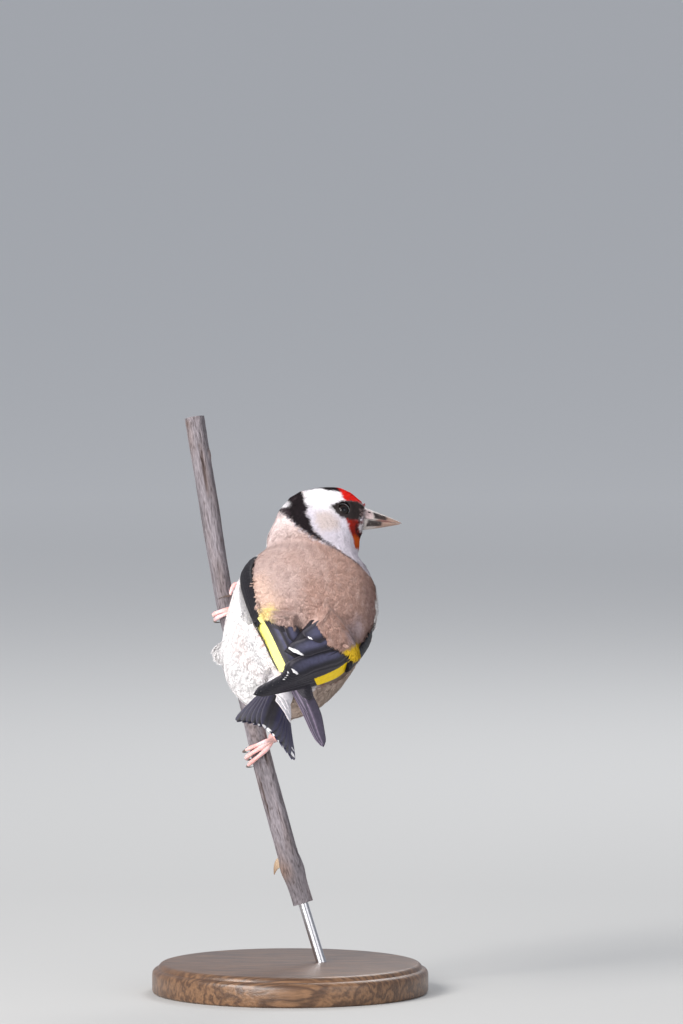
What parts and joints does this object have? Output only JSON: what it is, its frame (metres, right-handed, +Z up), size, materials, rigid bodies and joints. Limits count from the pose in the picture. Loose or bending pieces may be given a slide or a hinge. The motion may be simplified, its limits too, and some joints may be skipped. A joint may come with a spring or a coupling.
{
  "type": "european goldfinch model",
  "caption": "Life-size still model of a European goldfinch clinging to a short cut stem and looking over its shoulder, held by a round base and a slim rod.",
  "frame": {"origin": "centre of the stand base's flat underside", "axes": "+Z up; -Y towards the side that the bird's back is seen from; +X to that viewer's right, the way the bill points"},
  "size_m": [0.084, 0.1075, 0.1737],
  "materials": {
    "back_plumage": "matt, soft and streaked",
    "pale_plumage": "matt, soft",
    "face_plumage": "matt with a silky sheen, banded red, white and black",
    "flight_feathers": "satin, barbed, with yellow bars and white tips",
    "bill_horn": "satin horn",
    "eye_gloss": "wet gloss",
    "foot_skin": "scaled, satin",
    "claw_horn": "satin horn",
    "dry_stem": "dry fissured bark",
    "stand_wood": "dark stained and waxed",
    "stand_steel": "fine brushed"
  },
  "bodies": {
    "root": {"head": "face_plumage", "neck": "back_plumage", "torso": "back_plumage", "thigh_left": "pale_plumage", "thigh_right": "pale_plumage", "wing_left": "flight_feathers", "wing_right": "flight_feathers", "tail": "flight_feathers", "bill_upper": "bill_horn", "bill_lower": "bill_horn", "eye_left": "eye_gloss", "eye_right": "eye_gloss", "shank_left": "foot_skin", "shank_right": "foot_skin", "foot_left": "foot_skin", "foot_right": "foot_skin", "claw_left_inner": "claw_horn", "claw_left_middle": "claw_horn", "claw_left_outer": "claw_horn", "claw_left_hind": "claw_horn", "claw_right_inner": "claw_horn", "claw_right_middle": "claw_horn", "claw_right_outer": "claw_horn", "claw_right_hind": "claw_horn", "stem": "dry_stem", "stand_base": "stand_wood", "stand_rod": "stand_steel"}
  },
  "joints": []
}
